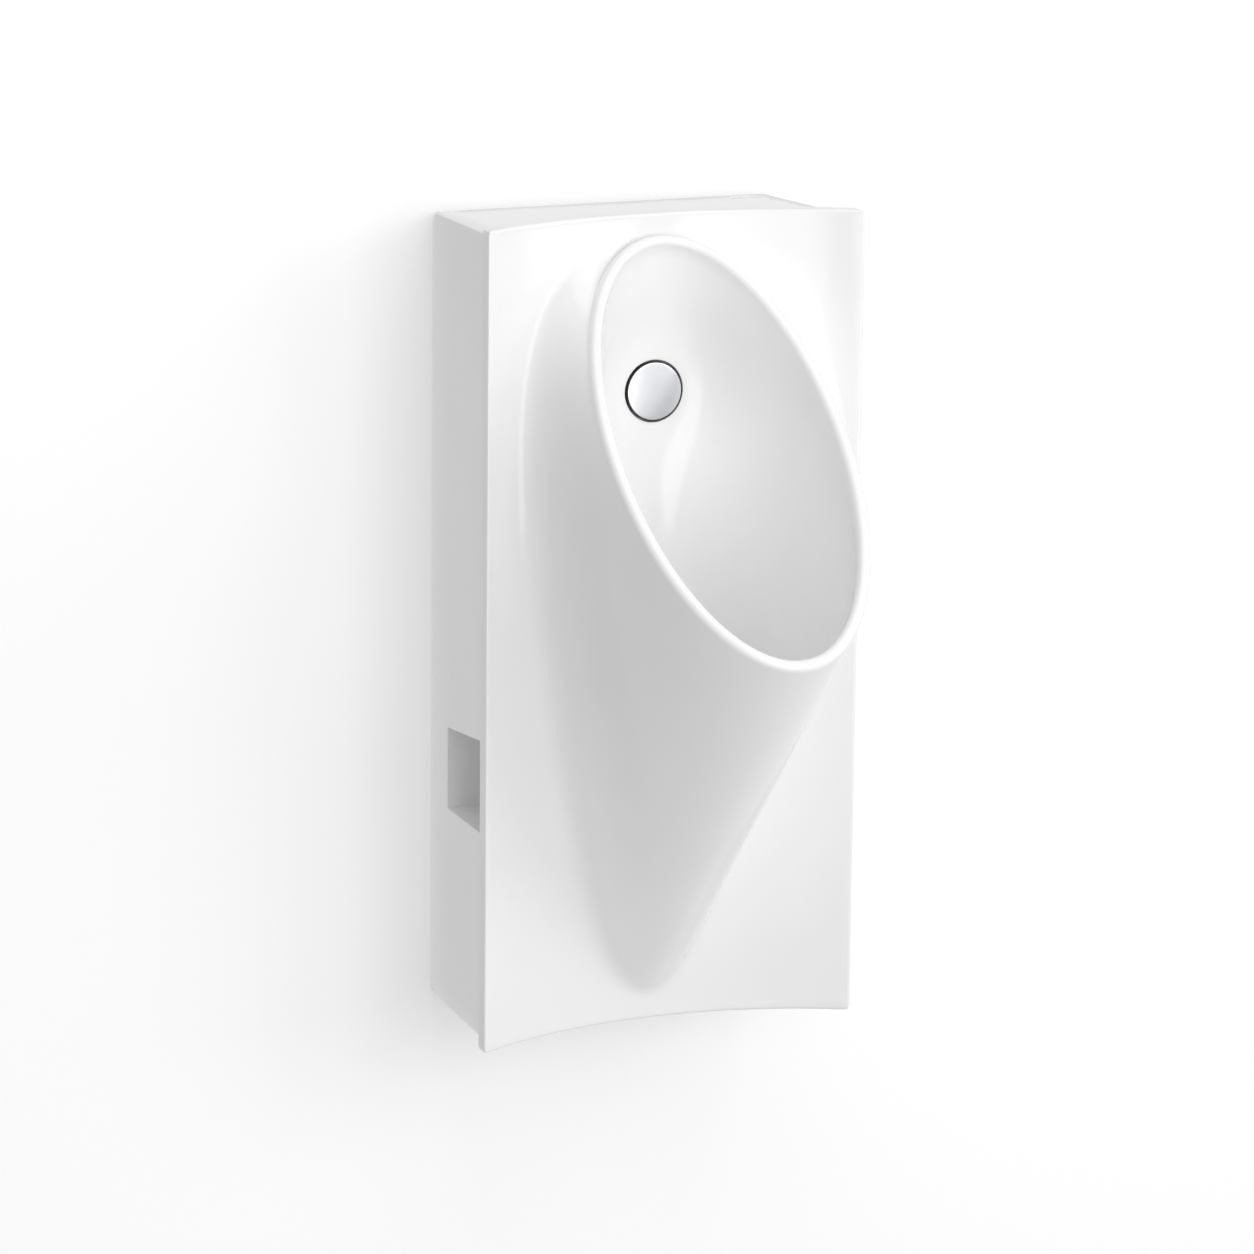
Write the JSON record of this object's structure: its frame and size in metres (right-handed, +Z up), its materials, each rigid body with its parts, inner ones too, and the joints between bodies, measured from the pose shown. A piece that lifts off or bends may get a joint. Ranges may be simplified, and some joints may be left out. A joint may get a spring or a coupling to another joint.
{
  "type": "wall hung urinal",
  "caption": "Wall hung urinal: white china slab with a concave front and a deep leaning funnel bowl, round flush cap, drain and trap hidden inside.",
  "frame": {"origin": "centre of the waste outlet's socket, on the wall plane", "axes": "+Z up, the front faces -Y, the wall is the plane y = 0, X = 0 is the plane of symmetry"},
  "size_m": [0.324, 0.3865, 0.66],
  "materials": {
    "glazed_vitreous_china": "gloss glaze, white",
    "polished_chrome": "polished",
    "brass": "machined",
    "stainless_steel": "brushed",
    "galvanised_steel": "zinc plated",
    "black_rubber": "matt",
    "white_plastic": "moulded"
  },
  "bodies": {
    "fixture": {"china_body": "glazed_vitreous_china", "wall_hanger": "galvanised_steel", "lower_fixing_bushes": "white_plastic", "lower_fixing_washers": "stainless_steel", "inlet_body": "brass", "inlet_front_gasket": "black_rubber", "inlet_back_gasket": "black_rubber", "inlet_thrust_washer": "white_plastic", "inlet_locknut": "brass", "union_washer": "black_rubber", "union_nut": "brass", "supply_tail": "brass", "drain_flange": "stainless_steel", "drain_upper_seal": "black_rubber", "drain_lower_seal": "black_rubber", "drain_chamber": "white_plastic", "spigot_nut": "white_plastic", "spigot_ring_seal": "black_rubber", "tail_bend": "white_plastic", "trap_inlet_nut": "white_plastic", "trap_inlet_seal": "black_rubber", "trap_body": "white_plastic", "outlet_lip_seal": "black_rubber"},
    "strainer": {"strainer": "stainless_steel"},
    "spreader_cap": {"spreader_cap": "polished_chrome", "cap_o_ring": "black_rubber"},
    "trap_cup": {"trap_cup": "white_plastic", "cup_seal": "black_rubber"}
  },
  "joints": [
    {"name": "strainer_lift", "type": "slide", "parent": "fixture", "child": "strainer", "axis": [0, 0, 1], "range_m": [0, 0.24]},
    {"name": "cap_pull", "type": "slide", "parent": "fixture", "child": "spreader_cap", "axis": [0, -1, 0], "range_m": [0, 0.06]},
    {"name": "trap_cup_drop", "type": "slide", "parent": "fixture", "child": "trap_cup", "axis": [0, 0, -1], "range_m": [0, 0.12]}
  ]
}
